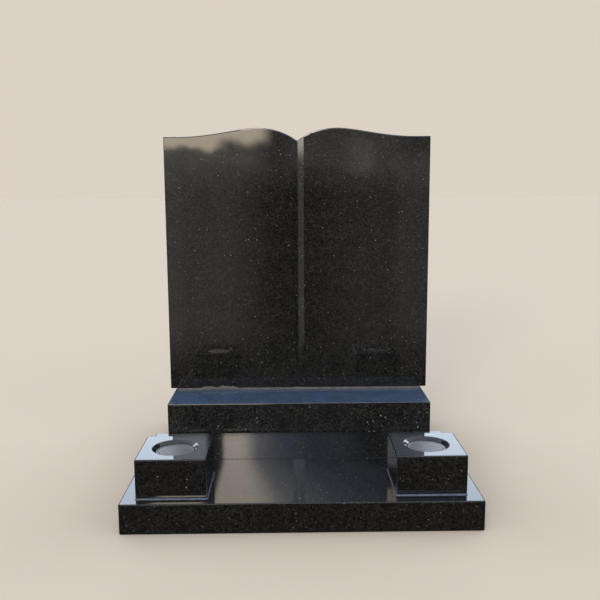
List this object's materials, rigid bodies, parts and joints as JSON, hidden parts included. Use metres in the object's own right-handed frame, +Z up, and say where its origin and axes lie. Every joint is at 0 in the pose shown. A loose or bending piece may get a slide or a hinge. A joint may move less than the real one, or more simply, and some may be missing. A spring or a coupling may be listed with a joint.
{
  "type": "headstone",
  "caption": "Open-book headstone of polished black granite on a plinth, with a front slab that carries square vase blocks with lidded flower containers.",
  "frame": {"origin": "on the ground under the middle of the whole footprint, which is also on the underside of the front slab", "axes": "+Z up, +X to the right seen from the front, the book and the vase blocks face -Y"},
  "size_m": [0.762, 0.763, 0.8725],
  "materials": {
    "granite": "polished black granite with fine grey and brown flecks",
    "mortar": "rough pale bedding mortar",
    "pointing": "dark recessed pointing",
    "container_metal": "spun, satin, dull",
    "lid_metal": "satin, slightly weathered"
  },
  "bodies": {
    "root": {"base_slab": "granite", "plinth": "granite", "book_tablet": "granite", "vase_block_left": "granite", "vase_block_right": "granite", "slab_joint": "pointing", "book_bedding": "mortar", "vase_bedding_left": "mortar", "vase_bedding_right": "mortar", "flower_container_left": "container_metal", "flower_container_right": "container_metal", "container_lid_left": "lid_metal", "container_lid_right": "lid_metal"}
  },
  "joints": []
}
